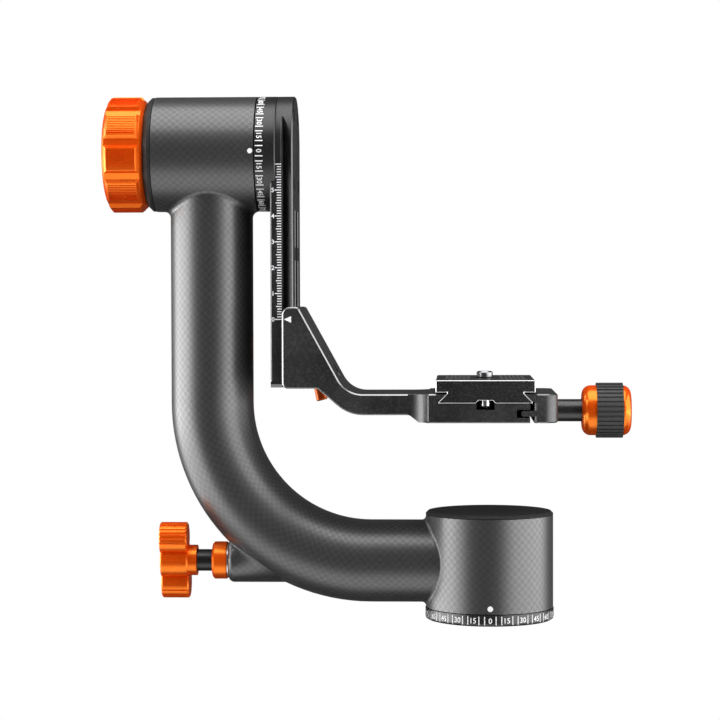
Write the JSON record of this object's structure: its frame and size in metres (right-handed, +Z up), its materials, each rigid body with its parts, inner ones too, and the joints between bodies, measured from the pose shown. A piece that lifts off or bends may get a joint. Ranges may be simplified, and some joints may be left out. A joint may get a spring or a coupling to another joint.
{
  "type": "gimbal tripod head",
  "caption": "Gimbal tripod head: bent carbon arm on a panning base, tilting hub with a scaled rail, height bracket and a dovetail clamp with a quick-release plate.",
  "frame": {"origin": "centre of the base's mounting face, on the pan axis, at the mouth of the tripod thread", "axes": "+Z up the pan axis, +X from the arm towards the clamp knob, so the tilt axis is parallel to X; +Y to the back of the head"},
  "size_m": [0.206, 0.0627, 0.2061],
  "materials": {
    "carbon": "satin clear coat over a fine checked carbon weave",
    "black_anodised": "fine-blasted black anodised, bright cut edges, white engraved scales",
    "orange_anodised": "glossy orange anodised",
    "bare_aluminium": "machined",
    "black_steel": "black oxide",
    "bright_steel": "turned stainless steel",
    "bearing_steel": "ground bearing steel",
    "rubber": "ribbed black rubber",
    "brass": "turned",
    "nylon": "natural nylon",
    "fibre": "friction fibre"
  },
  "bodies": {
    "base": {"base_ring": "black_anodised", "pan_spindle": "bright_steel", "base_screws": "black_steel", "pan_bearing_inner_races": "bearing_steel", "pan_bearing_nut": "bright_steel"},
    "arm": {"carbon_arm": "carbon", "lower_liner": "bare_aluminium", "base_cap": "black_anodised", "pan_bearing_outer_races": "bearing_steel", "pan_bearing_balls": "bearing_steel", "upper_liner": "bare_aluminium", "end_ring": "black_anodised", "end_ring_screws": "black_steel", "tilt_friction_washer": "fibre", "tilt_bearing_outer_races": "bearing_steel", "tilt_bearing_balls": "bearing_steel", "lock_boss_insert": "bright_steel", "lock_collar": "orange_anodised"},
    "pan_knob": {"pan_lock_knob": "orange_anodised", "pan_lock_sleeve": "black_steel", "pan_lock_screw": "bright_steel"},
    "pan_rod": {"pan_lock_rod": "bright_steel", "pan_brake_shoe": "nylon"},
    "swing": {"tilt_shaft": "bright_steel", "tilt_bearing_inner_races": "bearing_steel", "tilt_bearing_spacer": "bright_steel", "tilt_bearing_nut": "bright_steel", "degree_hub": "black_anodised", "rail": "black_anodised", "rail_end_plate": "black_anodised", "rail_end_screws": "black_steel", "rail_screws": "black_steel", "knob_retaining_screw": "bright_steel"},
    "tilt_knob": {"tilt_lock_knob": "orange_anodised", "tilt_knob_insert": "brass", "tilt_knob_cap": "orange_anodised"},
    "tilt_brake": {"tilt_pressure_ring": "bare_aluminium"},
    "platform": {"height_bracket": "black_anodised", "height_stop_screw": "black_steel"},
    "height_lever": {"height_lock_lever": "orange_anodised", "height_lock_stud": "bright_steel"},
    "height_brake": {"height_lock_pad": "brass"},
    "jaw": {"clamp_jaw": "black_anodised"},
    "jaw_knob": {"clamp_knob": "orange_anodised", "clamp_knob_grip": "rubber", "clamp_sleeve": "black_anodised", "clamp_screw": "bright_steel"},
    "plate": {"release_plate": "black_anodised", "plate_pads": "rubber", "plate_stop_screws": "bright_steel"},
    "screw_float": {"screw_retainer": "nylon"},
    "screw_turn": {"camera_screw": "bright_steel"}
  },
  "joints": [
    {"name": "pan", "type": "hinge", "parent": "base", "child": "arm", "pos_m": [0, 0, 0], "axis": [0, 0, 1], "continuous": true},
    {"name": "pan_lock_turn", "type": "hinge", "parent": "arm", "child": "pan_knob", "pos_m": [-0.12, 0, 0.0227], "axis": [1, 0, 0], "range_deg": [0, 270]},
    {"name": "pan_lock_push", "type": "slide", "parent": "arm", "child": "pan_rod", "axis": [-1, 0, 0], "range_m": [0, 0.0009]},
    {"name": "tilt", "type": "hinge", "parent": "arm", "child": "swing", "pos_m": [-0.0911, 0, 0.1834], "axis": [1, 0, 0], "continuous": true},
    {"name": "tilt_lock_turn", "type": "hinge", "parent": "swing", "child": "tilt_knob", "pos_m": [-0.142, 0, 0.1834], "axis": [1, 0, 0], "range_deg": [0, 180]},
    {"name": "tilt_lock_push", "type": "slide", "parent": "swing", "child": "tilt_brake", "axis": [-1, 0, 0], "range_m": [0, 0.0006]},
    {"name": "height", "type": "slide", "parent": "swing", "child": "platform", "axis": [0, 0, 1], "range_m": [0, 0.06]},
    {"name": "height_lock_turn", "type": "hinge", "parent": "platform", "child": "height_lever", "pos_m": [-0.07815, 0.029, 0.1055], "axis": [0, 1, 0], "range_deg": [0, 180]},
    {"name": "height_lock_push", "type": "slide", "parent": "platform", "child": "height_brake", "axis": [0, 1, 0], "range_m": [0, 0.0005]},
    {"name": "jaw_slide", "type": "slide", "parent": "platform", "child": "jaw", "axis": [1, 0, 0], "range_m": [0, 0.0031]},
    {"name": "clamp_turn", "type": "hinge", "parent": "jaw", "child": "jaw_knob", "pos_m": [0.04, 0, 0.0822], "axis": [1, 0, 0], "range_deg": [0, 1260]},
    {"name": "plate_slide", "type": "slide", "parent": "platform", "child": "plate", "axis": [0, 1, 0], "range_m": [-0.01, 0.01]},
    {"name": "camera_screw_lift", "type": "slide", "parent": "plate", "child": "screw_float", "axis": [0, 0, 1], "range_m": [0, 0.0024]},
    {"name": "camera_screw_turn", "type": "hinge", "parent": "screw_float", "child": "screw_turn", "pos_m": [-0.0018, 0, 0.09], "axis": [0, 0, 1], "continuous": true}
  ],
  "couplings": [
    {"joint": "pan_lock_push", "follows": "pan_lock_turn", "m_per_rad": 0.00015915},
    {"joint": "tilt_lock_push", "follows": "tilt_lock_turn", "m_per_rad": 0.00015915},
    {"joint": "height_lock_push", "follows": "height_lock_turn", "m_per_rad": 0.00012732},
    {"joint": "jaw_slide", "follows": "clamp_turn", "m_per_rad": 0.00012732}
  ]
}
